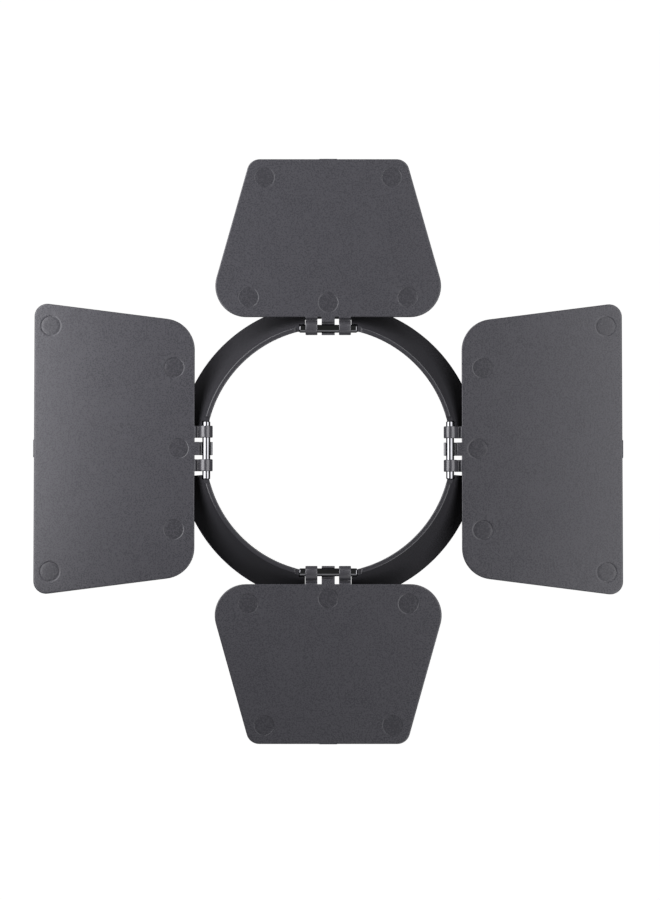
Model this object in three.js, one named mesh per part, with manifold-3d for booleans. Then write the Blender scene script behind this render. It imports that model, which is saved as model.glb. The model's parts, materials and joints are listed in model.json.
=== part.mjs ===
// A four-leaf barn door for a round flash or lamp head.
// Lengths are millimetres. The origin is the centre of the rear seating face, +Z points out of the
// front along the light's axis, +Y is the side of the top leaf and +X the side of the right leaf.
// The leaves lie flat, fully open.

import * as THREE from "three";
import { mergeVertices } from "three/addons/utils/BufferGeometryUtils.js";
import Module from "manifold-3d";

const wasm = await Module();
wasm.setup();

// Collar: a wedge-section ring, narrow at the front rim and wide at the rear seating face.
const COLLAR_DEPTH = 15.5;
const RIM_INNER_RADIUS = 30.6;
const RIM_OUTER_RADIUS = 31.9;
const SEAT_INNER_RADIUS = 32.0;
const SKIRT_RADIUS = 38.3;
const SKIRT_HEIGHT = 2.5;
const EDGE_CHAMFER = 0.4;
const RIM_CHAMFER = 0.2;
const COLLAR_SEGMENTS = 96;

// Coring: pockets open to the rear, which keep the moulded wall thin.
const INNER_WALL = 1.4;
const OUTER_WALL = 1.6;
const CORE_DEPTH = 9.5;
const CORE_TIP_WIDTH = 0.4;
const CORE_SPAN_DEG = 11;

// Hinges: one at each side of the collar, on chords of the front rim. Each pin is bonded in two troughs
// that are open to the front, one on each side of a notch, with the rim stepped down beside them.
const HINGE_RADIUS = 30.55;
const HINGE_HEIGHT = 13.8;
const PIN_RADIUS = 1.0;
const PIN_LENGTH = 14.5;
const PIN_CHAMFER = 0.5;
const BORE_RADIUS = 1.1;
const TROUGH_LENGTH = 14.7;
const SIDE_NOTCH_WIDTH = 12.4;
const TOP_NOTCH_WIDTH = 11.8;
const NOTCH_OUTER_RADIUS = 34.3;
const NOTCH_REACH = 4.2;
const STEP_WIDTH = 16.6;
const STEP_HEIGHT = 14.8;
const RIB_END = 7.65;
const RIB_INNER = 0.8;
const RIB_OUTER = 1.2;
const PIN_SEGMENTS = 24;

// Leaves: flat plates, each moulded in one piece with its two knuckles and its tongue.
const LEAF_THICKNESS = 1.5;
const LEAF_ROOT = 2.95;
const ROOT_CORNER_RADIUS = 7.8;
const TIP_CORNER_RADIUS = 3.2;
const TOP_LEAF = { rootHalf: 30.85, tipHalf: 19.65, length: 39.8, gate: 0.08 };
const SIDE_LEAF = { rootHalf: 31.7, tipHalf: 36.8, length: 40.2, gate: 0.18 };
const GATE_WIDTH = 4.5;
const KNUCKLE_RADIUS = 1.5;
const KNUCKLE_WIDTH = 3.0;
const TONGUE_WIDTH = 3.3;
const FINGER_GAP = 1.05;
const KNUCKLE_ARM_FRONT = 0.5;
const TONGUE_LEDGE = 0.25;
const FINGER_OVERLAP = 0.5;

// Magnets: discs in blind pockets of the rear face, three in each quadrant.
const MAGNET_RADIUS = 2.0;
const MAGNET_THICKNESS = 1.8;
const MAGNET_RECESS = 0.1;
const MAGNET_CLEARANCE = 0.15;
const MAGNET_CIRCLE_RADIUS = 35.15;
const MAGNET_ANGLES_DEG = [22.5, 45, 67.5];
const MAGNET_CHAMFER = 0.15;
const MAGNET_SEGMENTS = 20;

// Lengths that cutting tools run past a face, so that no cut ends on it.
const OVERRUN = 1;
const CURVE_SEGMENTS = 10;
const MERGE_TOLERANCE = 1e-4;

// Each leaf has some play along its pin; the side leaves rest a little towards +Y.
const LEFT_SLIDE = 0.45;
const RIGHT_SLIDE = 0.3;

const QUADRANTS = [0, 90, 180, 270];
const HINGES = [
  { side: "right", angle: 0, leaf: SIDE_LEAF, notch: SIDE_NOTCH_WIDTH, slide: -RIGHT_SLIDE },
  { side: "top", angle: 90, leaf: TOP_LEAF, notch: TOP_NOTCH_WIDTH, slide: 0 },
  { side: "left", angle: 180, leaf: SIDE_LEAF, notch: SIDE_NOTCH_WIDTH, slide: LEFT_SLIDE },
  { side: "bottom", angle: 270, leaf: TOP_LEAF, notch: TOP_NOTCH_WIDTH, slide: 0 },
];

const rad = THREE.MathUtils.degToRad;

const leafPlastic = new THREE.MeshStandardMaterial({ color: 0x55545a, roughness: 0.62, metalness: 0 });
const collarPlastic = new THREE.MeshStandardMaterial({ color: 0x2e2d32, roughness: 0.48, metalness: 0 });
const pinSteel = new THREE.MeshStandardMaterial({ color: 0xc9cbd0, roughness: 0.2, metalness: 1 });
const magnetNickel = new THREE.MeshStandardMaterial({ color: 0xb9b7b0, roughness: 0.28, metalness: 1 });

// Solids and geometries

function solidOf(geometry) {
  const bare = geometry.clone();
  bare.deleteAttribute("normal");
  bare.deleteAttribute("uv");
  const merged = mergeVertices(bare, MERGE_TOLERANCE);
  return new wasm.Manifold(
    new wasm.Mesh({
      numProp: 3,
      vertProperties: new Float32Array(merged.attributes.position.array),
      triVerts: new Uint32Array(merged.index.array),
    }),
  );
}

function geometryOf(solid) {
  const mesh = solid.getMesh();
  const geometry = new THREE.BufferGeometry();
  geometry.setAttribute("position", new THREE.BufferAttribute(mesh.vertProperties, 3));
  geometry.setIndex(new THREE.BufferAttribute(mesh.triVerts, 1));
  const faceted = geometry.toNonIndexed();
  faceted.computeVertexNormals();
  return faceted;
}

const joined = (solids) => solids.reduce((all, solid) => all.add(solid));

function box(min, max) {
  const size = new THREE.Vector3().subVectors(max, min);
  const centre = new THREE.Vector3().addVectors(min, max).multiplyScalar(0.5);
  return new THREE.BoxGeometry(size.x, size.y, size.z).translate(centre.x, centre.y, centre.z);
}

// A closed profile of [radius, height] points, turned about +Z.
function turned(profile, segments) {
  const points = [...profile, profile[0]].map(([radius, height]) => new THREE.Vector2(radius, height));
  return new THREE.LatheGeometry(points, segments).rotateX(Math.PI / 2);
}

// In a hinge's own frame u runs along the pin (x), v away from the collar's axis (y) and w to the
// front (z). A section drawn in (v, w) becomes a bar that fills u from the first value to the second.
function barAlongPin(section, fromU, toU) {
  const bar = new THREE.ExtrudeGeometry(section, {
    depth: toU - fromU,
    bevelEnabled: false,
    curveSegments: CURVE_SEGMENTS,
  });
  const axes = new THREE.Matrix4().makeBasis(
    new THREE.Vector3(0, 1, 0),
    new THREE.Vector3(0, 0, 1),
    new THREE.Vector3(1, 0, 0),
  );
  return bar.applyMatrix4(axes).translate(fromU, 0, 0);
}

function rodAlongPin(radius, fromU, toU) {
  const length = toU - fromU;
  return new THREE.CylinderGeometry(radius, radius, length, PIN_SEGMENTS)
    .rotateZ(Math.PI / 2)
    .translate(fromU + length / 2, 0, 0);
}

function polygon(points) {
  return new THREE.Shape(points.map(([x, y]) => new THREE.Vector2(x, y)));
}

// A polygon given anticlockwise as [x, y, corner radius], with each corner rounded by its radius.
function roundedPolygon(corners) {
  const shape = new THREE.Shape();
  corners.forEach(([x, y, radius], i) => {
    const corner = new THREE.Vector2(x, y);
    const before = new THREE.Vector2(...corners.at(i - 1)).sub(corner).normalize();
    const after = new THREE.Vector2(...corners[(i + 1) % corners.length]).sub(corner).normalize();
    const half = before.angleTo(after) / 2;
    const start = before.clone().multiplyScalar(radius / Math.tan(half)).add(corner);
    if (i === 0) shape.moveTo(start.x, start.y);
    else shape.lineTo(start.x, start.y);
    if (radius === 0) return;
    const centre = before.clone().add(after).normalize();
    centre.multiplyScalar(radius / Math.sin(half)).add(corner);
    const end = after.clone().multiplyScalar(radius / Math.tan(half)).add(corner);
    const from = start.clone().sub(centre).angle();
    const to = end.clone().sub(centre).angle();
    shape.absarc(centre.x, centre.y, radius, from, to, false);
  });
  shape.closePath();
  return shape;
}

// Collar

const coneSlope = (SKIRT_RADIUS - RIM_OUTER_RADIUS) / (COLLAR_DEPTH - EDGE_CHAMFER - SKIRT_HEIGHT);
const coneRadius = (height) => SKIRT_RADIUS - coneSlope * (height - SKIRT_HEIGHT);
const boreSlope = (SEAT_INNER_RADIUS - RIM_INNER_RADIUS) / COLLAR_DEPTH;
const boreRadius = (height) => SEAT_INNER_RADIUS - boreSlope * height;

function collarBlank() {
  return turned(
    [
      [SEAT_INNER_RADIUS, 0],
      [SKIRT_RADIUS - EDGE_CHAMFER, 0],
      [SKIRT_RADIUS, EDGE_CHAMFER],
      [SKIRT_RADIUS, SKIRT_HEIGHT],
      [RIM_OUTER_RADIUS, COLLAR_DEPTH - EDGE_CHAMFER],
      [RIM_OUTER_RADIUS - RIM_CHAMFER, COLLAR_DEPTH],
      [RIM_INNER_RADIUS + RIM_CHAMFER, COLLAR_DEPTH],
      [RIM_INNER_RADIUS, COLLAR_DEPTH - RIM_CHAMFER],
    ],
    COLLAR_SEGMENTS,
  );
}

// One ring of the coring section, kept only in the sectors between neighbouring magnets.
function coring() {
  const wallOnCone = OUTER_WALL * Math.hypot(1, coneSlope);
  const tipInner = boreRadius(CORE_DEPTH) + INNER_WALL;
  const tipOuter = Math.max(coneRadius(CORE_DEPTH) - wallOnCone, tipInner + CORE_TIP_WIDTH);
  const ring = solidOf(
    turned(
      [
        [boreRadius(-OVERRUN) + INNER_WALL, -OVERRUN],
        [SKIRT_RADIUS - OUTER_WALL, -OVERRUN],
        [SKIRT_RADIUS - OUTER_WALL, SKIRT_HEIGHT - EDGE_CHAMFER],
        [tipOuter, CORE_DEPTH],
        [tipInner, CORE_DEPTH],
      ],
      COLLAR_SEGMENTS,
    ),
  );
  const reach = 2 * SKIRT_RADIUS;
  const sectors = [];
  for (const quadrant of QUADRANTS) {
    for (let i = 1; i < MAGNET_ANGLES_DEG.length; i += 1) {
      const middle = quadrant + (MAGNET_ANGLES_DEG[i - 1] + MAGNET_ANGLES_DEG[i]) / 2;
      const edges = [middle - CORE_SPAN_DEG / 2, middle + CORE_SPAN_DEG / 2].map(rad);
      const outline = polygon([[0, 0], ...edges.map((a) => [reach * Math.cos(a), reach * Math.sin(a)])]);
      const wedge = new THREE.ExtrudeGeometry(outline, { depth: 2 * COLLAR_DEPTH, bevelEnabled: false });
      sectors.push(ring.intersect(solidOf(wedge.translate(0, 0, -COLLAR_DEPTH))));
    }
  }
  return joined(sectors);
}

function magnetPlaces() {
  return QUADRANTS.flatMap((quadrant) =>
    MAGNET_ANGLES_DEG.map((angle) => {
      const a = rad(quadrant + angle);
      return [MAGNET_CIRCLE_RADIUS * Math.cos(a), MAGNET_CIRCLE_RADIUS * Math.sin(a)];
    }),
  );
}

function magnetPocket([x, y]) {
  const radius = MAGNET_RADIUS + MAGNET_CLEARANCE;
  const roof = MAGNET_RECESS + MAGNET_THICKNESS + MAGNET_CLEARANCE;
  const height = roof + OVERRUN;
  return new THREE.CylinderGeometry(radius, radius, height, MAGNET_SEGMENTS)
    .rotateX(Math.PI / 2)
    .translate(x, y, roof - height / 2);
}

// Moves a geometry from the hinge's frame to the collar's: a quarter turn for each side.
function atHinge(geometry, angle) {
  return geometry
    .clone()
    .rotateZ(-Math.PI / 2)
    .translate(HINGE_RADIUS, 0, HINGE_HEIGHT)
    .rotateZ(rad(angle));
}

// A box centred on the hinge across u, from its inner to its outer v and from its low to its high w.
function hingeBox(width, inner, outer, low, high) {
  return box(new THREE.Vector3(-width / 2, inner, low), new THREE.Vector3(width / 2, outer, high));
}

// What one hinge takes from the collar: the through notch, and the front of the rim beside it.
function hingeClearing(notch) {
  const rear = -HINGE_HEIGHT - OVERRUN;
  const front = COLLAR_DEPTH - HINGE_HEIGHT + OVERRUN;
  const outer = NOTCH_OUTER_RADIUS - HINGE_RADIUS;
  return [
    hingeBox(notch, -NOTCH_REACH, outer, rear, front),
    hingeBox(STEP_WIDTH, -NOTCH_REACH, outer, STEP_HEIGHT - HINGE_HEIGHT, front),
  ];
}

// A rib down to the rear face, which widens the collar's wall under the pin's end.
function rib(sign, notch) {
  const start = notch / 2;
  const draft = boreRadius(0) - boreRadius(HINGE_HEIGHT);
  const section = polygon([
    [-RIB_INNER, 0],
    [draft - RIB_INNER, -HINGE_HEIGHT],
    [draft + RIB_OUTER, -HINGE_HEIGHT],
    [RIB_OUTER, 0],
  ]);
  return sign > 0 ? barAlongPin(section, start, RIB_END) : barAlongPin(section, -RIB_END, -start);
}

// The troughs at both ends of the pin: half round at the bottom, straight up to the front.
function pinTroughs() {
  return [
    rodAlongPin(BORE_RADIUS, -TROUGH_LENGTH / 2, TROUGH_LENGTH / 2),
    hingeBox(TROUGH_LENGTH, -BORE_RADIUS, BORE_RADIUS, 0, COLLAR_DEPTH - HINGE_HEIGHT),
  ];
}

function mountRing() {
  let ring = solidOf(collarBlank()).subtract(coring());
  const cutAll = (pieces, angle) => {
    for (const piece of pieces) ring = ring.subtract(solidOf(atHinge(piece, angle)));
  };
  const addAll = (pieces, angle) => {
    for (const piece of pieces) ring = ring.add(solidOf(atHinge(piece, angle)));
  };
  for (const { angle, notch } of HINGES) {
    cutAll(hingeClearing(notch), angle);
    addAll([rib(1, notch), rib(-1, notch)], angle);
    cutAll(pinTroughs(), angle);
  }
  for (const place of magnetPlaces()) ring = ring.subtract(solidOf(magnetPocket(place)));
  return geometryOf(ring);
}

// Leaves

function plateOutline({ rootHalf, tipHalf, length, gate }) {
  const tip = LEAF_ROOT + length;
  return roundedPolygon([
    [-rootHalf, LEAF_ROOT, ROOT_CORNER_RADIUS],
    [rootHalf, LEAF_ROOT, ROOT_CORNER_RADIUS],
    [tipHalf, tip, TIP_CORNER_RADIUS],
    [GATE_WIDTH / 2, tip, 0],
    [GATE_WIDTH / 2, tip + gate, 0],
    [-GATE_WIDTH / 2, tip + gate, 0],
    [-GATE_WIDTH / 2, tip, 0],
    [-tipHalf, tip, TIP_CORNER_RADIUS],
  ]);
}

// A knuckle wraps the front half of the pin: half a shell, and an arm to the plate.
function knuckleSection() {
  const back = -LEAF_THICKNESS / 2;
  const arm = LEAF_ROOT + FINGER_OVERLAP;
  const section = new THREE.Shape();
  section.moveTo(BORE_RADIUS, back);
  section.lineTo(arm, back);
  section.lineTo(arm, KNUCKLE_ARM_FRONT);
  section.absarc(0, 0, KNUCKLE_RADIUS, Math.asin(KNUCKLE_ARM_FRONT / KNUCKLE_RADIUS), Math.PI, false);
  section.absarc(0, 0, BORE_RADIUS, Math.PI, 0, true);
  section.closePath();
  return section;
}

// The tongue wraps the back half of the pin, from an arm flush with the plate.
function tongueSection() {
  const half = LEAF_THICKNESS / 2;
  const arm = LEAF_ROOT + FINGER_OVERLAP;
  const section = new THREE.Shape();
  section.moveTo(-KNUCKLE_RADIUS, 0);
  section.absarc(0, 0, KNUCKLE_RADIUS, Math.PI, 2 * Math.PI - Math.asin(half / KNUCKLE_RADIUS), false);
  section.lineTo(arm, -half);
  section.lineTo(arm, half);
  section.lineTo(BORE_RADIUS + TONGUE_LEDGE, half);
  section.lineTo(BORE_RADIUS + TONGUE_LEDGE, 0);
  section.lineTo(BORE_RADIUS, 0);
  section.absarc(0, 0, BORE_RADIUS, 2 * Math.PI, Math.PI, true);
  section.closePath();
  return section;
}

function leaf(size) {
  const plate = new THREE.ExtrudeGeometry(plateOutline(size), {
    depth: LEAF_THICKNESS,
    bevelEnabled: false,
    curveSegments: CURVE_SEGMENTS,
  }).translate(0, 0, -LEAF_THICKNESS / 2);
  const tongueEnd = TONGUE_WIDTH / 2;
  const knuckleStart = tongueEnd + FINGER_GAP;
  const knuckleEnd = knuckleStart + KNUCKLE_WIDTH;
  const parts = [
    plate,
    barAlongPin(tongueSection(), -tongueEnd, tongueEnd),
    barAlongPin(knuckleSection(), knuckleStart, knuckleEnd),
    barAlongPin(knuckleSection(), -knuckleEnd, -knuckleStart),
  ];
  return geometryOf(joined(parts.map(solidOf)));
}

// Pins and magnets

// A round bar along +Z, centred on the origin, with chamfered ends.
function chamferedDisc(radius, length, chamfer, segments) {
  const half = length / 2;
  return new THREE.LatheGeometry(
    [
      new THREE.Vector2(0, -half),
      new THREE.Vector2(radius - chamfer, -half),
      new THREE.Vector2(radius, -half + chamfer),
      new THREE.Vector2(radius, half - chamfer),
      new THREE.Vector2(radius - chamfer, half),
      new THREE.Vector2(0, half),
    ],
    segments,
  ).rotateX(Math.PI / 2);
}

// Assembly

const barnDoor = new THREE.Group();

function addPiece(parent, name, geometry, material) {
  const mesh = new THREE.Mesh(geometry, material);
  mesh.name = name;
  parent.add(mesh);
  return mesh;
}

addPiece(barnDoor, "mount_ring", mountRing(), collarPlastic);

const magnet = chamferedDisc(MAGNET_RADIUS, MAGNET_THICKNESS, MAGNET_CHAMFER, MAGNET_SEGMENTS);
magnetPlaces().forEach(([x, y], i) => {
  const name = `magnet_${String(i + 1).padStart(2, "0")}`;
  const piece = addPiece(barnDoor, name, magnet, magnetNickel);
  piece.position.set(x, y, MAGNET_RECESS + MAGNET_THICKNESS / 2);
});

const pin = chamferedDisc(PIN_RADIUS, PIN_LENGTH, PIN_CHAMFER, PIN_SEGMENTS).rotateY(Math.PI / 2);
for (const { side, angle, leaf: size, slide } of HINGES) {
  const turn = new THREE.Group();
  turn.rotation.z = rad(angle);
  const hinge = new THREE.Group();
  hinge.position.set(HINGE_RADIUS, 0, HINGE_HEIGHT);
  hinge.rotation.z = -Math.PI / 2;
  turn.add(hinge);
  barnDoor.add(turn);
  addPiece(hinge, `hinge_pin_${side}`, pin, pinSteel);
  const leafPiece = addPiece(hinge, `leaf_${side}`, leaf(size), leafPlastic);
  leafPiece.position.x = slide;
}

export default barnDoor;
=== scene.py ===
"""The looks of a four-leaf barn door: two kinds of moulded leaf, a moulded collar, steel hinge pins and
disc magnets. Shapes are drawn in millimetres and turned into metres as each mesh is finished."""

import json
import math

import bmesh
import bpy
from mathutils import Matrix, Vector
from mathutils.geometry import delaunay_2d_cdt


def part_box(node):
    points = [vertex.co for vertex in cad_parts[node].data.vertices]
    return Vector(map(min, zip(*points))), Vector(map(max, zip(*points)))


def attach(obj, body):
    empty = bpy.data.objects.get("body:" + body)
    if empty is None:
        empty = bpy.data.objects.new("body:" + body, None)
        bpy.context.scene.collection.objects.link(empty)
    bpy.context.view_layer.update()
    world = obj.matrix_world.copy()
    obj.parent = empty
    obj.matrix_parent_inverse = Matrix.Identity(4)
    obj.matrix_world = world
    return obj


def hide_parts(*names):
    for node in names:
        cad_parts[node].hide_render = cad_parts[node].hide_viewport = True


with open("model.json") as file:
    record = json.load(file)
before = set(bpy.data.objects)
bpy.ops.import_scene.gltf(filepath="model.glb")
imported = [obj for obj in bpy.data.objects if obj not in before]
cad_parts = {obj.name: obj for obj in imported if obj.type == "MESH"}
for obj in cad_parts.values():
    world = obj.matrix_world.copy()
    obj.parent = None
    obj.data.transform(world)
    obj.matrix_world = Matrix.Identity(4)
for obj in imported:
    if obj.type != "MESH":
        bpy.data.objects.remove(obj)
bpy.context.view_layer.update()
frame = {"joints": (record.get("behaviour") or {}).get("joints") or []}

MM = 0.001


def box_mm(node):
    """The CAD node's lowest and highest corner, in millimetres."""
    low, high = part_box(node)
    return low / MM, high / MM


_, ring_high = box_mm("mount_ring")
pin_low, pin_high = box_mm("hinge_pin_top")
joints = {joint["child"]: joint for joint in frame["joints"]}
hinge_place = Vector(joints["top_leaf"]["pos_m"]) / MM

# Collar, as [radius, height]: a wedge section, narrow at the front rim and wide at the rear face.
COLLAR_DEPTH = ring_high.z
SKIRT_RADIUS = ring_high.x
SKIRT_HEIGHT = 2.5
SEAT_INNER_RADIUS = 32.0
RIM_INNER_RADIUS = 30.58
RIM_OUTER_RADIUS = 31.7
SEAT_EDGE_ROUND = 0.2
REAR_EDGE_ROUND = 0.4
SKIRT_BEND_ROUND = 1.6
RIM_ROUND = 0.3
COLLAR_STEPS = 320
CORE_INNER_WALL = 1.4
CORE_OUTER_WALL = 1.6
CORE_DEPTH = 9.5
CORE_TIP_WIDTH = 0.7
CORE_MOUTH_ROUND = 0.1
CORE_BEND_ROUND = 0.5
CORE_TIP_ROUND = 0.3
CORE_SPAN = math.radians(11)
CORE_MIDDLES_DEG = [33.75, 56.25]
CORE_STEPS = 12

# Hinges. u runs along the pin, v away from the collar's axis and w to the front.
HINGE_HEIGHT = hinge_place.z
PIN_RADIUS = (pin_high.z - pin_low.z) / 2
PIN_HALF = (pin_high.x - pin_low.x) / 2
PIN_DOME = 0.28
BORE_RADIUS = 1.1
TROUGH_HALF = 7.35
NOTCH_HALVES = {"right": 6.2, "top": 5.9, "left": 6.2, "bottom": 5.9}
NOTCH_INNER = -4.2
NOTCH_OUTER = 3.75
NOTCH_INNER_ROUND = 0.1
NOTCH_OUTER_ROUND = 0.4
STEP_HALF = 8.3
STEP_HEIGHT = 1.0
STEP_ROUND = 0.3
STEP_FOOT_ROUND = 0.15
STEP_EASE = 0.2
EASE_OVERLAP = 0.005
STEP_PAST_NOTCH = 0.1
RIB_END = 7.65
RIB_INNER = -0.8
RIB_OUTER = 1.2
RIB_FOOT_ROUND = 0.05
RIB_HEAD_ROUND = 0.15
TROUGH_EDGE_ROUND = 0.1

# Leaves
LEAF_HALF_THICKNESS = 0.75
LEAF_ROOT = 2.95
ROOT_CORNER = 7.8
TIP_CORNER = 3.2
LEAF_EDGE_ROUND = 0.25
LEAF_EDGE_STEPS = 4
FACE_MARGIN = 0.3
FACE_SPACING = 3.0
FACE_CLEARANCE = 1.0
GATE_HALF = 2.25
GATE_TAPER = 0.03
GATE_INSIDE = 0.6
GATE_BACK = -0.6
GATE_FRONT = 0.62
GATE_FOOT_ROUND = 0.05
GATE_ROUND = 0.08
KNUCKLE_FROM = 2.7
KNUCKLE_TO = 5.7
KNUCKLE_EDGE_ROUND = 0.2
TONGUE_HALF = 1.65
FINGER_EDGE_ROUND = 0.12
FINGER_REACH = 1.6
ARM_END = 3.45
FINGER_FACE = 2.3
SKIN = 0.01
TOP_LEAF = {"root": 30.85, "tip": 19.65, "length": 39.8, "gate": 0.08}
SIDE_LEAF = {"root": 31.7, "tip": 36.8, "length": 40.2, "gate": 0.18}

# Roundings of the fingers' sections, in (v, w), as a centre and a radius.
BARREL = ((0.2, -0.18), 1.66)
BARREL_NOSE = 0.1
GROOVE = ((2.15, 0.1), 0.32)
ROLL_OFF_V = 3.0
ROLL_OFF_ROUND = 0.29
TONGUE_GROOVE = ((1.5, 0.22), 0.15)
TONGUE_GROOVE_EDGE = 1.82
TONGUE_GROOVE_ROUND = 0.14
TONGUE_WALL = ((1.22, 0.4), 0.11)
LIP_INSIDE = ((-1.16, 0.12), 0.05)
LIP_OUTSIDE = ((-1.52, -0.08), 0.08)
LIP_SLOPE_DEG = 112
LIP_END_DEG = -174

# Ejector marks: shallow round steps that the mould's pins leave. Their edge, as (offset from the
# radius, share of the depth), is a bevel and a shallow groove round a flat floor.
MARK_RADIUS = 2.55
MARK_STEPS = 48
MARK_CLEARANCE = 0.7
MARK_WALL = [
    (0.3, 0.0), (0.06, 0.0), (-0.05, -0.32), (-0.09, -1.0), (-0.12, -1.25), (-0.17, -1.3),
    (-0.26, -1.25), (-0.45, -1.0), (-1.0, -1.0),
]

# Each leaf's marks, as (u, v, depth).
MARKS = {
    "top": [
        (-20.0, 7.85, 0.04), (0.0, 6.55, 0.05), (20.0, 7.85, 0.08),
        (-16.0, 38.1, 0.03), (16.0, 38.1, 0.06),
    ],
    "bottom": [
        (-20.0, 7.85, 0.05), (0.0, 6.55, 0.08), (20.0, 7.85, 0.07),
        (16.0, 38.1, 0.07), (-16.0, 38.1, 0.02),
    ],
    "left": [
        (20.3, 8.15, 0.12), (0.0, 6.95, 0.04), (-20.3, 8.15, 0.05),
        (30.8, 39.05, 0.08), (-30.8, 39.05, 0.07),
    ],
    "right": [
        (-20.3, 8.15, 0.03), (0.0, 6.95, 0.07), (20.3, 8.15, 0.09),
        (-30.8, 39.05, 0.05), (30.8, 39.05, 0.06),
    ],
}

# A leaf's material slots.
PLATE_SLOT, MARK_SLOT, KNUCKLE_SLOT = range(3)

# Magnets: discs in round pockets of the rear face.
MAGNET_COUNT = 12
MAGNET_CLEARANCE = 0.15
MAGNET_EDGE_ROUND = 0.18
POCKET_STEPS = 48
ROUND_STEPS = 64

# How far a cut runs past the face it goes through, and how near two points are welded.
OVERRUN = 1.0
WELD = 1e-4


# Outlines and sections


def arc(centre, radius, start_deg, end_deg, steps):
    """Points of a circular arc, both ends included."""
    points = []
    for i in range(steps + 1):
        angle = math.radians(start_deg + (end_deg - start_deg) * i / steps)
        points.append((centre[0] + radius * math.cos(angle), centre[1] + radius * math.sin(angle)))
    return points


def rounded(corners, inset=0.0):
    """An anticlockwise outline from (x, y, corner radius), drawn inset from its own edge."""
    points = []
    for i, (x, y, radius) in enumerate(corners):
        corner = Vector((x, y))
        before = (corner - Vector(corners[i - 1][:2])).normalized()
        after = (Vector(corners[(i + 1) % len(corners)][:2]) - corner).normalized()
        turn = math.atan2(before.cross(after), before.dot(after))
        side = 1 if turn > 0 else -1
        bisector = (after - before).normalized()
        centre = corner + bisector * (radius / math.cos(turn / 2))
        start = math.atan2(-before.x, before.y)
        steps = max(3, round(abs(turn) * (3 + 2.2 * math.sqrt(radius))))
        for k in range(steps + 1):
            angle = start + turn * k / steps
            reach = side * (radius - side * inset)
            points.append((centre.x + reach * math.cos(angle), centre.y + reach * math.sin(angle)))
    return points


def inset_section(points, inset):
    """A section moved in from its own edge by mitred corners."""
    moved = []
    for i, point in enumerate(points):
        here = Vector(point)
        before = (here - Vector(points[i - 1])).normalized()
        after = (Vector(points[(i + 1) % len(points)]) - here).normalized()
        normal = Vector((before.y + after.y, -before.x - after.x))
        moved.append(tuple(here - normal * (inset / (1 + before.dot(after)))))
    return moved


# Meshes


def loft(mesh, loops, closed=False):
    """Skins a list of loops of equal length: capped at both ends, or closed into a ring."""
    rows = [[mesh.verts.new(point) for point in loop] for loop in loops]
    count = len(rows[0])
    pairs = list(zip(rows, rows[1:]))
    if closed:
        pairs.append((rows[-1], rows[0]))
    for low, high in pairs:
        for i in range(count):
            k = (i + 1) % count
            mesh.faces.new((low[i], low[k], high[k], high[i]))
    if not closed:
        mesh.faces.new(rows[0][::-1])
        mesh.faces.new(rows[-1])


def bar(section, from_u, to_u, edge=FINGER_EDGE_ROUND, steps=3):
    """A bar along the pin with rounded end edges, from an anticlockwise section in (v, w)."""
    ends = []
    for k in range(steps + 1):
        angle = math.pi / 2 * k / steps
        ends.append((edge * (1 - math.cos(angle)), edge * (1 - math.sin(angle))))
    stations = [(from_u + along, inset) for along, inset in ends]
    stations += [(to_u - along, inset) for along, inset in reversed(ends)]
    mesh = bmesh.new()
    loft(mesh, [[(u, v, w) for v, w in inset_section(section, inset)] for u, inset in stations])
    return mesh


def upright(outline_points, low, high):
    """A straight prism over an outline in the plane of u and v."""
    mesh = bmesh.new()
    loft(mesh, [[(x, y, height) for x, y in outline_points] for height in (low, high)])
    return mesh


def across(section, from_v, to_v):
    """A straight prism along v, from a section in (u, w)."""
    mesh = bmesh.new()
    loft(mesh, [[(u, v, w) for u, w in section] for v in (from_v, to_v)])
    return mesh


def spun(profile, steps, start=0.0, sweep=2 * math.pi):
    """A closed section of (radius, height), turned about +Z by a whole or a part turn."""
    whole = sweep == 2 * math.pi
    mesh = bmesh.new()
    loops = []
    for k in range(steps if whole else steps + 1):
        angle = start + sweep * k / steps
        loops.append([(r * math.cos(angle), r * math.sin(angle), z) for r, z in profile])
    loft(mesh, loops, closed=whole)
    bmesh.ops.recalc_face_normals(mesh, faces=mesh.faces)
    return mesh


def disc_stack(profile, steps):
    """A solid of revolution about +Z whose axis is inside it, from (radius, height) upwards."""
    mesh = bmesh.new()
    loops = []
    for radius, z in profile:
        loops.append([
            (radius * math.cos(2 * math.pi * k / steps), radius * math.sin(2 * math.pi * k / steps), z)
            for k in range(steps)
        ])
    loft(mesh, loops)
    return mesh


def temporary(mesh):
    """A scene object for a bmesh that a Boolean needs for a moment."""
    bmesh.ops.recalc_face_normals(mesh, faces=mesh.faces)
    data = bpy.data.meshes.new("temporary")
    mesh.to_mesh(data)
    mesh.free()
    made = bpy.data.objects.new("temporary", data)
    bpy.context.scene.collection.objects.link(made)
    return made


def combined(base, tools, operation):
    """The exact Boolean of one bmesh with several others."""
    group = bpy.data.collections.new("tools")
    bpy.context.scene.collection.children.link(group)
    target = temporary(base)
    cutters = [temporary(tool) for tool in tools]
    for cutter in cutters:
        bpy.context.scene.collection.objects.unlink(cutter)
        group.objects.link(cutter)
    boolean = target.modifiers.new("boolean", "BOOLEAN")
    boolean.operand_type = "COLLECTION"
    boolean.collection = group
    boolean.operation = operation
    boolean.solver = "EXACT"
    boolean.use_self = operation == "UNION"
    evaluated = target.evaluated_get(bpy.context.evaluated_depsgraph_get())
    result = bmesh.new()
    result.from_mesh(evaluated.to_mesh())
    evaluated.to_mesh_clear()
    for thing in [target, *cutters]:
        data = thing.data
        bpy.data.objects.remove(thing)
        bpy.data.meshes.remove(data)
    bpy.data.collections.remove(group)
    bmesh.ops.remove_doubles(result, verts=result.verts, dist=WELD)
    bmesh.ops.dissolve_degenerate(result, edges=result.edges, dist=WELD)
    return result


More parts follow.
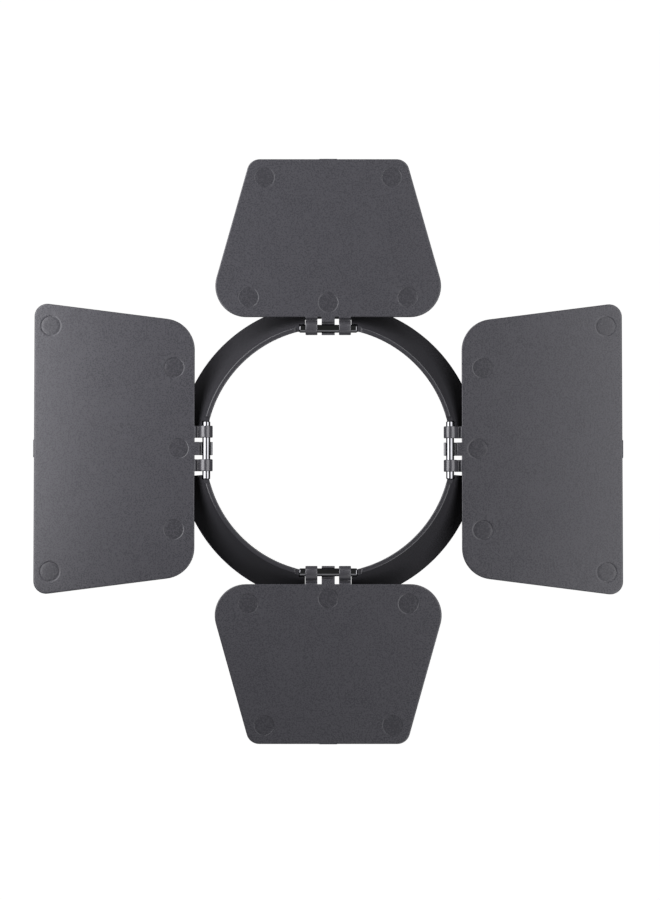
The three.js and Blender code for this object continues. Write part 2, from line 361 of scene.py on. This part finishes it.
def finished(name, mesh, materials, sharp_deg=35):
    """The final object: metres, smooth over its roundings, flat across its faces."""
    bmesh.ops.recalc_face_normals(mesh, faces=mesh.faces)
    data = bpy.data.meshes.new(name)
    mesh.to_mesh(data)
    mesh.free()
    data.transform(Matrix.Scale(MM, 4))
    data.polygons.foreach_set("use_smooth", [True] * len(data.polygons))
    data.set_sharp_from_angle(angle=math.radians(sharp_deg))
    for material in materials:
        data.materials.append(material)
    made = bpy.data.objects.new(name, data)
    bpy.context.scene.collection.objects.link(made)
    weights = made.modifiers.new("weighted normals", "WEIGHTED_NORMAL")
    weights.keep_sharp = True
    weights.weight = 60
    return made


# Materials


class Finish:
    """One Principled material, with short ways to add grain, colour and bump to it."""

    def __init__(self, name, settings):
        self.material = bpy.data.materials.new(name)
        self.material.use_nodes = True
        self.tree = self.material.node_tree
        self.shader = self.tree.nodes["Principled BSDF"]
        for socket, value in settings.items():
            self.shader.inputs[socket].default_value = value
        self.place = self.tree.nodes.new("ShaderNodeTexCoord").outputs["Object"]

    def node(self, kind, inputs, **settings):
        made = self.tree.nodes.new(kind)
        for key, value in settings.items():
            setattr(made, key, value)
        for socket, value in inputs.items():
            if isinstance(value, bpy.types.NodeSocket):
                self.tree.links.new(value, made.inputs[socket])
            else:
                made.inputs[socket].default_value = value
        return made

    def noise(self, size_mm, detail=2.0, roughness=0.5, stretch=(1, 1, 1)):
        """Noise whose grains are about that size, shorter along a stretched axis."""
        place = self.node("ShaderNodeMapping", {"Vector": self.place, "Scale": stretch}).outputs["Vector"]
        grain = {"Vector": place, "Scale": 1 / (size_mm * MM), "Detail": detail, "Roughness": roughness}
        return self.node("ShaderNodeTexNoise", grain).outputs["Fac"]

    def spread(self, value, low, high, from_low=0.3, from_high=0.7):
        limits = {"From Min": from_low, "From Max": from_high, "To Min": low, "To Max": high}
        return self.node("ShaderNodeMapRange", {"Value": value, **limits}).outputs["Result"]

    def sum(self, first, second, share):
        terms = {0: second, 1: share, 2: first}
        return self.node("ShaderNodeMath", terms, operation="MULTIPLY_ADD").outputs["Value"]

    def ramp(self, value, stops):
        made = self.node("ShaderNodeValToRGB", {"Fac": value})
        elements = made.color_ramp.elements
        while len(elements) < len(stops):
            elements.new(0.5)
        for element, (position, colour) in zip(elements, stops):
            element.position = position
            element.color = (*colour, 1)
        return made.outputs["Color"]

    def bump(self, height, depth_mm, strength, over=None):
        inputs = {"Height": height, "Distance": depth_mm * MM, "Strength": strength}
        if over is not None:
            inputs["Normal"] = over
        return self.node("ShaderNodeBump", inputs).outputs["Normal"]

    def use(self, socket, value):
        self.tree.links.new(value, self.shader.inputs[socket])


def grained_plastic(name, dark, light, grain_mm, grain_depth, roughness, specular=0.5):
    """Moulded plastic: an eroded grain with its own fine specks, over very faint long waves."""
    finish = Finish(name, {"Specular IOR Level": specular})
    grain = finish.noise(grain_mm, detail=3, roughness=0.6)
    cloud = finish.noise(7, detail=3, roughness=0.55)
    speck = finish.noise(grain_mm * 0.8, detail=1)
    mix = finish.sum(finish.spread(cloud, 0.43, 0.57), finish.spread(speck, -0.5, 0.5), 0.9)
    finish.use("Base Color", finish.ramp(mix, [(0.0, dark), (1.0, light)]))
    worn = finish.sum(finish.spread(cloud, 0.4, 0.6), finish.spread(speck, -0.5, 0.5), 0.8)
    finish.use("Roughness", finish.spread(worn, roughness - 0.03, roughness + 0.03, 0, 1))
    waves = finish.bump(finish.noise(14, detail=1), 0.01, 0.5)
    finish.use("Normal", finish.bump(grain, grain_depth, 1.0, over=waves))
    return finish.material


def drawn_steel():
    """Hard bright pin wire: fine marks along the wire, made by the die, and faint scuffs."""
    finish = Finish("pin_steel", {"Metallic": 1.0, "Specular IOR Level": 0.5})
    lines = finish.noise(0.05, detail=3, roughness=0.6, stretch=(0.02, 1, 1))
    scuffs = finish.noise(1.3, detail=4, roughness=0.6, stretch=(0.5, 1, 1))
    stops = [(0.3, (0.24, 0.242, 0.25)), (0.7, (0.31, 0.313, 0.32))]
    finish.use("Base Color", finish.ramp(scuffs, stops))
    finish.use("Roughness", finish.spread(finish.sum(lines, scuffs, 0.6), 0.04, 0.1, 0.5, 1.1))
    finish.use("Normal", finish.bump(lines, 0.0004, 1.0))
    return finish.material


def nickel_plate():
    """Nickel plate over a pressed magnet: slightly warm, dimpled, with dull fingerprints."""
    finish = Finish("magnet_nickel", {"Metallic": 1.0, "Specular IOR Level": 0.5})
    prints = finish.noise(1.6, detail=4, roughness=0.65)
    stops = [(0.25, (0.50, 0.48, 0.44)), (0.75, (0.63, 0.61, 0.57))]
    finish.use("Base Color", finish.ramp(prints, stops))
    finish.use("Roughness", finish.spread(prints, 0.2, 0.4))
    finish.use("Normal", finish.bump(finish.noise(0.35, detail=2), 0.004, 1.0))
    return finish.material


leaf_plastic = grained_plastic(
    "leaf_plastic", dark=(0.028, 0.028, 0.0315), light=(0.047, 0.0465, 0.0515),
    grain_mm=0.42, grain_depth=0.022, roughness=0.28,
)
mark_plastic = grained_plastic(
    "leaf_plastic_mark", dark=(0.025, 0.025, 0.028), light=(0.038, 0.0375, 0.042),
    grain_mm=0.5, grain_depth=0.014, roughness=0.27,
)
# The knuckles' copy of the leaf plastic. Its colour is a little lighter than the plates', which is painted
# light on the barrels, and it is more specular and smoother so that the knuckles catch brighter highlights.
lit_knuckle_plastic = grained_plastic(
    "leaf_plastic_knuckle_lit", dark=(0.034, 0.034, 0.037), light=(0.046, 0.045, 0.05),
    grain_mm=0.3, grain_depth=0.004, roughness=0.24, specular=0.8,
)
ring_plastic = grained_plastic(
    "ring_plastic", dark=(0.024, 0.0238, 0.026), light=(0.032, 0.0315, 0.035),
    grain_mm=0.3, grain_depth=0.005, roughness=0.22,
)
pin_steel = drawn_steel()
magnet_nickel = nickel_plate()


# Collar


def inner_radius(height):
    """Radius of the collar's inner wall, which opens towards the rear."""
    return SEAT_INNER_RADIUS - (SEAT_INNER_RADIUS - RIM_INNER_RADIUS) * height / COLLAR_DEPTH


def collar_blank():
    section = [
        (SEAT_INNER_RADIUS, 0, SEAT_EDGE_ROUND),
        (SKIRT_RADIUS, 0, REAR_EDGE_ROUND),
        (SKIRT_RADIUS, SKIRT_HEIGHT, SKIRT_BEND_ROUND),
        (RIM_OUTER_RADIUS, COLLAR_DEPTH, RIM_ROUND),
        (RIM_INNER_RADIUS, COLLAR_DEPTH, RIM_ROUND),
    ]
    return spun(rounded(section), COLLAR_STEPS)


def core_pockets():
    """Pockets in the rear face, between neighbouring magnets, that keep the wall thin."""
    tip_inner = inner_radius(CORE_DEPTH) + CORE_INNER_WALL
    section = [
        (inner_radius(-OVERRUN) + CORE_INNER_WALL, -OVERRUN, CORE_MOUTH_ROUND),
        (SKIRT_RADIUS - CORE_OUTER_WALL, -OVERRUN, CORE_MOUTH_ROUND),
        (SKIRT_RADIUS - CORE_OUTER_WALL, SKIRT_HEIGHT, CORE_BEND_ROUND),
        (tip_inner + CORE_TIP_WIDTH, CORE_DEPTH, CORE_TIP_ROUND),
        (tip_inner, CORE_DEPTH, CORE_TIP_ROUND),
    ]
    pockets = []
    for quadrant in range(4):
        for middle in CORE_MIDDLES_DEG:
            start = math.radians(90 * quadrant + middle) - CORE_SPAN / 2
            pockets.append(spun(rounded(section), CORE_STEPS, start, CORE_SPAN))
    return pockets


def magnet_pockets():
    pockets = []
    for i in range(MAGNET_COUNT):
        low, high = box_mm(f"magnet_{i + 1:02d}")
        middle = (low + high) / 2
        radius = (high.x - low.x) / 2 + MAGNET_CLEARANCE
        pocket = disc_stack([(radius, -OVERRUN), (radius, high.z + MAGNET_CLEARANCE)], POCKET_STEPS)
        bmesh.ops.translate(pocket, verts=pocket.verts, vec=(middle.x, middle.y, 0))
        pockets.append(pocket)
    return pockets


def hinge_frame(body):
    """The matrix from a hinge's own (u, v, w) to the row frame, in metres."""
    joint = joints[body]
    along = Vector(joint["axis"]).normalized()
    front = Vector((0, 0, 1))
    turn = Matrix([along, front.cross(along), front]).transposed()
    return Matrix.Translation(joint["pos_m"]) @ turn.to_4x4()


def at_hinge(mesh, body):
    """Moves a bmesh in millimetres from a hinge's frame to the collar's."""
    place = hinge_frame(body)
    place.translation /= MM
    mesh.transform(place)
    return mesh


def step_section(notch_half):
    """The front of the rim beside the notch, stepped down, in (u, w), with its edges eased."""
    sky = COLLAR_DEPTH - HINGE_HEIGHT + OVERRUN
    rim = COLLAR_DEPTH - HINGE_HEIGHT
    ease_middle = (notch_half + STEP_EASE - EASE_OVERLAP, STEP_HEIGHT - STEP_EASE)
    half = arc(ease_middle, STEP_EASE, 180, 90, 5)
    half += arc((STEP_HALF - STEP_FOOT_ROUND, STEP_HEIGHT + STEP_FOOT_ROUND), STEP_FOOT_ROUND, 270, 360, 4)
    half += arc((STEP_HALF + STEP_ROUND, rim - STEP_ROUND), STEP_ROUND, 180, 97, 7)
    half += [(half[-1][0], sky)]
    return half + [(-u, w) for u, w in reversed(half)]


def hinge_cuts(half):
    """What a hinge takes from the collar: the through notch and the front of the rim beside it."""
    floor = -HINGE_HEIGHT - OVERRUN
    sky = COLLAR_DEPTH - HINGE_HEIGHT + OVERRUN
    notch = rounded([
        (-half, NOTCH_INNER, NOTCH_INNER_ROUND),
        (half, NOTCH_INNER, NOTCH_INNER_ROUND),
        (half, NOTCH_OUTER, NOTCH_OUTER_ROUND),
        (-half, NOTCH_OUTER, NOTCH_OUTER_ROUND),
    ])
    step = across(step_section(half), NOTCH_INNER, NOTCH_OUTER + STEP_PAST_NOTCH)
    return [upright(notch, floor, sky), step]


def rib(sign, start):
    """A rib down to the rear face, which widens the collar's wall under the pin's end."""
    draft = inner_radius(0) - inner_radius(HINGE_HEIGHT)
    section = rounded([
        (draft + RIB_INNER, -HINGE_HEIGHT, RIB_FOOT_ROUND),
        (draft + RIB_OUTER, -HINGE_HEIGHT, RIB_FOOT_ROUND),
        (RIB_OUTER, 0, RIB_HEAD_ROUND),
        (RIB_INNER, 0, RIB_HEAD_ROUND),
    ])
    if sign > 0:
        return bar(section, start, RIB_END)
    return bar(section, -RIB_END, -start)


def pin_trough():
    """The trough that the pin is bonded in: half round at the bottom, straight up to the front."""
    top = STEP_HEIGHT + OVERRUN
    section = arc((0, 0), BORE_RADIUS, 180, 360, 28) + [(BORE_RADIUS, top), (-BORE_RADIUS, top)]
    return bar(section, -TROUGH_HALF, TROUGH_HALF, edge=TROUGH_EDGE_ROUND)


def collar():
    """The whole collar: the blank, less pockets and notches, with ribs, less the pins' troughs."""
    cuts = core_pockets() + magnet_pockets()
    ribs = []
    troughs = []
    for side, half in NOTCH_HALVES.items():
        body = f"{side}_leaf"
        cuts += [at_hinge(cut, body) for cut in hinge_cuts(half)]
        ribs += [at_hinge(rib(sign, half), body) for sign in (1, -1)]
        troughs.append(at_hinge(pin_trough(), body))
    body = combined(collar_blank(), cuts, "DIFFERENCE")
    body = combined(body, ribs, "UNION")
    body = combined(body, troughs, "DIFFERENCE")
    made = finished("collar", body, [ring_plastic])
    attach(made, "ring")
    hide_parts("mount_ring")


# Leaves


def leaf_outline(size, inset=0.0):
    root, tip, end = size["root"], size["tip"], LEAF_ROOT + size["length"]
    corners = [
        (-root, LEAF_ROOT, ROOT_CORNER),
        (root, LEAF_ROOT, ROOT_CORNER),
        (tip, end, TIP_CORNER),
        (-tip, end, TIP_CORNER),
    ]
    return rounded(corners, inset)


def in_marks(point, marks, radius):
    return any((point[0] - u) ** 2 + (point[1] - v) ** 2 < radius ** 2 for u, v, _ in marks)


def fill_face(mesh, rim, height, marks):
    """Triangles over a leaf's flat face, up to the ejector marks, which are built as steps."""
    points = [vert.co.xy for vert in rim]
    verts = list(rim)
    edges = [(i, (i + 1) % len(rim)) for i in range(len(rim))]
    guard = MARK_RADIUS + MARK_WALL[0][0]
    for u, v, depth in marks:
        rings = []
        for offset, level in MARK_WALL:
            rings.append([
                mesh.verts.new((u + x, v + y, height + level * depth))
                for x, y in arc((0, 0), MARK_RADIUS + offset, 0, 360 - 360 / MARK_STEPS, MARK_STEPS - 1)
            ])
        for outer, inner in zip(rings, rings[1:]):
            for i in range(MARK_STEPS):
                k = (i + 1) % MARK_STEPS
                face = mesh.faces.new((outer[i], outer[k], inner[k], inner[i]))
                face.material_index = PLATE_SLOT if outer is rings[0] else MARK_SLOT
        mesh.faces.new(rings[-1]).material_index = MARK_SLOT
        start = len(points)
        points += [vert.co.xy for vert in rings[0]]
        verts += rings[0]
        edges += [(start + i, start + (i + 1) % MARK_STEPS) for i in range(MARK_STEPS)]
    low_u, high_u = min(p.x for p in points), max(p.x for p in points)
    low_v, high_v = min(p.y for p in points), max(p.y for p in points)
    rim_points = list(points)
    columns = int((high_u - low_u) / FACE_SPACING)
    rows = int((high_v - low_v) / FACE_SPACING)
    for i in range(1, columns):
        for k in range(1, rows):
            spot = Vector((low_u + i * (high_u - low_u) / columns, low_v + k * (high_v - low_v) / rows))
            near = min((spot - other).length_squared for other in rim_points)
            if near > FACE_CLEARANCE ** 2 and not in_marks(spot, marks, guard + MARK_CLEARANCE):
                points.append(spot)
    result = delaunay_2d_cdt([Vector(p) for p in points], edges, [], 1, 1e-5)
    places, faces, origins = result[0], result[2], result[3]
    found = {}
    for i, place in enumerate(places):
        source = origins[i][0] if origins[i] else None
        if source is not None and source < len(verts):
            found[i] = verts[source]
        else:
            found[i] = mesh.verts.new((place.x, place.y, height))
    used = set()
    for face in faces:
        middle = sum((places[i] for i in face), Vector((0, 0))) / 3
        if not in_marks(middle, marks, guard - 0.001):
            mesh.faces.new([found[i] for i in face])
            used.update(face)
    for i, vert in found.items():
        if i not in used and not vert.link_faces:
            mesh.verts.remove(vert)


def plate(size, marks):
    """The flat plate, with rounded edges and the ejector marks in its front."""
    mesh = bmesh.new()
    edge = LEAF_EDGE_ROUND
    stations = [(edge + FACE_MARGIN, -LEAF_HALF_THICKNESS)]
    for k in range(LEAF_EDGE_STEPS + 1):
        angle = math.pi / 2 * k / LEAF_EDGE_STEPS
        stations.append((edge * (1 - math.sin(angle)), -LEAF_HALF_THICKNESS + edge * (1 - math.cos(angle))))
    stations += [(inset, -height) for inset, height in reversed(stations)]
    rows = []
    for inset, height in stations:
        rows.append([mesh.verts.new((x, y, height)) for x, y in leaf_outline(size, inset)])
    for low, high in zip(rows, rows[1:]):
        for i in range(len(low)):
            k = (i + 1) % len(low)
            mesh.faces.new((low[i], low[k], high[k], high[i]))
    fill_face(mesh, rows[0], -LEAF_HALF_THICKNESS, [])
    fill_face(mesh, rows[-1], LEAF_HALF_THICKNESS, marks)
    return mesh


def knuckle_section():
    """Half a shell over the front of the pin, a groove, and a low arm that rolls off from the plate."""
    face = LEAF_HALF_THICKNESS - SKIN
    section = [(BORE_RADIUS, -face), (ARM_END, -face), (ARM_END, face)]
    section += arc((ROLL_OFF_V, ROLL_OFF_ROUND), face - ROLL_OFF_ROUND, 90, 180, 8)
    section += arc(*GROOVE, 350, 190, 10)
    section += arc(*BARREL, 10, 145, 32)
    section += [(-FINGER_REACH, BARREL_NOSE), (-FINGER_REACH, 0)]
    section += arc((0, 0), BORE_RADIUS, 180, 0, 24)
    return section


def tongue_section():
    """Half a shell round the back of the pin: a lip that slopes inwards, and an arm with a groove."""
    face = LEAF_HALF_THICKNESS - SKIN
    back_end = -math.degrees(math.asin(face / FINGER_REACH))
    section = arc((0, 0), FINGER_REACH, LIP_END_DEG, back_end, 26)
    section += [(ARM_END, -face), (ARM_END, face)]
    section += arc((TONGUE_GROOVE_EDGE, face - TONGUE_GROOVE_ROUND), TONGUE_GROOVE_ROUND, 90, 175, 4)
    section += arc(*TONGUE_GROOVE, -10, -170, 6)
    section += arc(*TONGUE_WALL, 10, 170, 6)
    section += arc((0, 0), BORE_RADIUS, 0, -180, 24)
    section += arc(*LIP_INSIDE, 20, LIP_SLOPE_DEG, 3)
    section += arc(*LIP_OUTSIDE, LIP_SLOPE_DEG, 180, 3)
    return section


def gate(size):
    """The cut-off gate at the middle of the tip edge, a little lower than the plate's faces."""
    tip = LEAF_ROOT + size["length"]
    end = tip + size["gate"]
    outline_points = rounded([
        (-GATE_HALF, tip - GATE_INSIDE, GATE_FOOT_ROUND),
        (GATE_HALF, tip - GATE_INSIDE, GATE_FOOT_ROUND),
        (GATE_HALF - GATE_TAPER, end, GATE_ROUND),
        (-GATE_HALF + GATE_TAPER, end, GATE_ROUND),
    ])
    return upright(outline_points, GATE_BACK, GATE_FRONT)


def leaf(side, size):
    """One leaf: the plate with its fingers and gate, moved by its play along the pin."""
    body = f"{side}_leaf"
    fingers = [
        bar(tongue_section(), -TONGUE_HALF, TONGUE_HALF),
        bar(knuckle_section(), KNUCKLE_FROM, KNUCKLE_TO, edge=KNUCKLE_EDGE_ROUND, steps=4),
        bar(knuckle_section(), -KNUCKLE_TO, -KNUCKLE_FROM, edge=KNUCKLE_EDGE_ROUND, steps=4),
        gate(size),
    ]
    mesh = combined(plate(size, MARKS[side]), fingers, "UNION")
    # The fingers' faces take the knuckles' lighter copy of the plastic; its extra lightness is painted
    # light.
    for face in mesh.faces:
        if face.calc_center_median().y < FINGER_FACE:
            face.material_index = KNUCKLE_SLOT
    made = finished(f"barn_leaf_{side}", mesh, [leaf_plastic, mark_plastic, lit_knuckle_plastic])
    place = hinge_frame(body)
    low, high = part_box(f"leaf_{side}")
    play = (place.inverted() @ ((low + high) / 2)).x
    made.matrix_world = place @ Matrix.Translation((play, 0, 0))
    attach(made, body)
    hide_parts(f"leaf_{side}")


# Pins and magnets


def round_bar(half_length, radius, edge, steps):
    """A bar about +Z with rounded ends, centred on the origin."""
    ends = [(radius - edge + x, half_length - edge + y) for x, y in arc((0, 0), edge, 0, 90, 8)]
    profile = [(r, -z) for r, z in reversed(ends)] + ends
    return disc_stack(profile, steps)


def pin(side):
    mesh = round_bar(PIN_HALF, PIN_RADIUS, PIN_DOME, ROUND_STEPS)
    mesh.transform(Matrix.Rotation(math.pi / 2, 4, "Y"))
    made = finished(f"pin_{side}", mesh, [pin_steel])
    made.matrix_world = hinge_frame(f"{side}_leaf")
    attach(made, "ring")
    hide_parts(f"hinge_pin_{side}")


def magnet(i):
    node = f"magnet_{i:02d}"
    low, high = box_mm(node)
    mesh = round_bar((high.z - low.z) / 2, (high.x - low.x) / 2, MAGNET_EDGE_ROUND, ROUND_STEPS)
    made = finished(f"magnet_disc_{i:02d}", mesh, [magnet_nickel])
    made.location = (low + high) / 2 * MM
    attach(made, "ring")
    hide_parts(node)


collar()
for side, size in (("top", TOP_LEAF), ("right", SIDE_LEAF), ("bottom", TOP_LEAF), ("left", SIDE_LEAF)):
    leaf(side, size)
    pin(side)
for i in range(MAGNET_COUNT):
    magnet(i + 1)


# Floor and light


def plain_surface(name, colour, glow):
    """A dull floor surface that gives off some light of its own."""
    finish = Finish(name, {
        "Base Color": (*colour, 1),
        "Roughness": 0.9,
        "Specular IOR Level": 0.1,
        "Emission Color": (1, 1, 1, 1),
        "Emission Strength": glow,
    })
    return finish.material


def ground(name, height_mm, half_size, material):
    """A square of floor under the object."""
    mesh = bmesh.new()
    signs = [(-1, -1), (1, -1), (1, 1), (-1, 1)]
    mesh.faces.new([mesh.verts.new((x * half_size, y * half_size, height_mm * MM)) for x, y in signs])
    data = bpy.data.meshes.new(name)
    mesh.to_mesh(data)
    mesh.free()
    data.materials.append(material)
    made = bpy.data.objects.new(name, data)
    bpy.context.scene.collection.objects.link(made)
    return made


# The camera sees a plain white floor. The object's own light comes back from a dim grey one.
floor = ground("floor", -0.05, 4.0, plain_surface("floor_white", (0.5, 0.5, 0.5), glow=1.02))
floor.visible_diffuse = False
floor.visible_glossy = False

bounce = ground("floor_bounce", -0.02, 0.6, plain_surface("floor_grey", (0.06, 0.06, 0.06), glow=0.0))
bounce.visible_camera = False

LAMP_COLOUR = (1.0, 0.99, 1.03)


def softbox(name, top, bottom, along, radiance, turn_deg=0):
    """A rectangular soft light: top and bottom edge in (x, z) and ends in y, then turned about +Z."""
    edges = [Vector((x, sum(along) / 2, z)) for x, z in (top, bottom)]
    middle = (edges[0] + edges[1]) / 2
    upwards = (edges[0] - edges[1]).normalized()
    inwards = Vector((0, 1, 0)).cross(upwards)
    if inwards.x * middle.x > 0:
        inwards.negate()
    lamp = bpy.data.lights.new(name, "AREA")
    lamp.shape = "RECTANGLE"
    lamp.size = along[1] - along[0]
    lamp.size_y = (edges[0] - edges[1]).length
    lamp.energy = radiance * math.pi * lamp.size * lamp.size_y
    lamp.color = LAMP_COLOUR
    made = bpy.data.objects.new(name, lamp)
    bpy.context.scene.collection.objects.link(made)
    turn = Matrix([upwards.cross(-inwards), upwards, -inwards]).transposed()
    about = Matrix.Rotation(math.radians(turn_deg), 4, "Z")
    made.matrix_world = about @ Matrix.Translation(middle) @ turn.to_4x4()
    made.visible_camera = False


softbox("softbox_left", top=(-0.094, 0.180), bottom=(-0.112, 0.037), along=(-0.039, 0.403), radiance=5.0)
softbox("softbox_right", top=(0.098, 0.329), bottom=(0.178, 0.094), along=(-0.295, 0.505), radiance=2.75)
softbox(
    "softbox_low", top=(-0.45, 0.45), bottom=(-0.6, 0.02), along=(-0.5, 0.5), radiance=0.42, turn_deg=90
)

world = bpy.data.worlds.new("studio")
world.use_nodes = True
background = world.node_tree.nodes["Background"]
background.inputs["Color"].default_value = (1, 1, 1, 1)
background.inputs["Strength"].default_value = 0.06
bpy.context.scene.world = world
bpy.context.scene.view_settings.view_transform = "Standard"

# Camera

CAMERA_ELEVATION = math.radians(87.4)
CAMERA_DISTANCE = 0.7
CAMERA_LENS = 112
CAMERA_ASIDE = 0.00045
rim_centre = Vector((CAMERA_ASIDE, 0, COLLAR_DEPTH * MM))
back = Vector((0, -math.cos(CAMERA_ELEVATION), math.sin(CAMERA_ELEVATION)))

camera_data = bpy.data.cameras.new("camera")
camera_data.lens = CAMERA_LENS
camera_data.sensor_width = 36
camera_data.clip_start = 0.01
camera_data.clip_end = 20
camera = bpy.data.objects.new("camera", camera_data)
bpy.context.scene.collection.objects.link(camera)
camera.location = rim_centre + back * CAMERA_DISTANCE
camera.rotation_mode = "QUATERNION"
camera.rotation_quaternion = (-back).to_track_quat("-Z", "Y")
bpy.context.scene.camera = camera
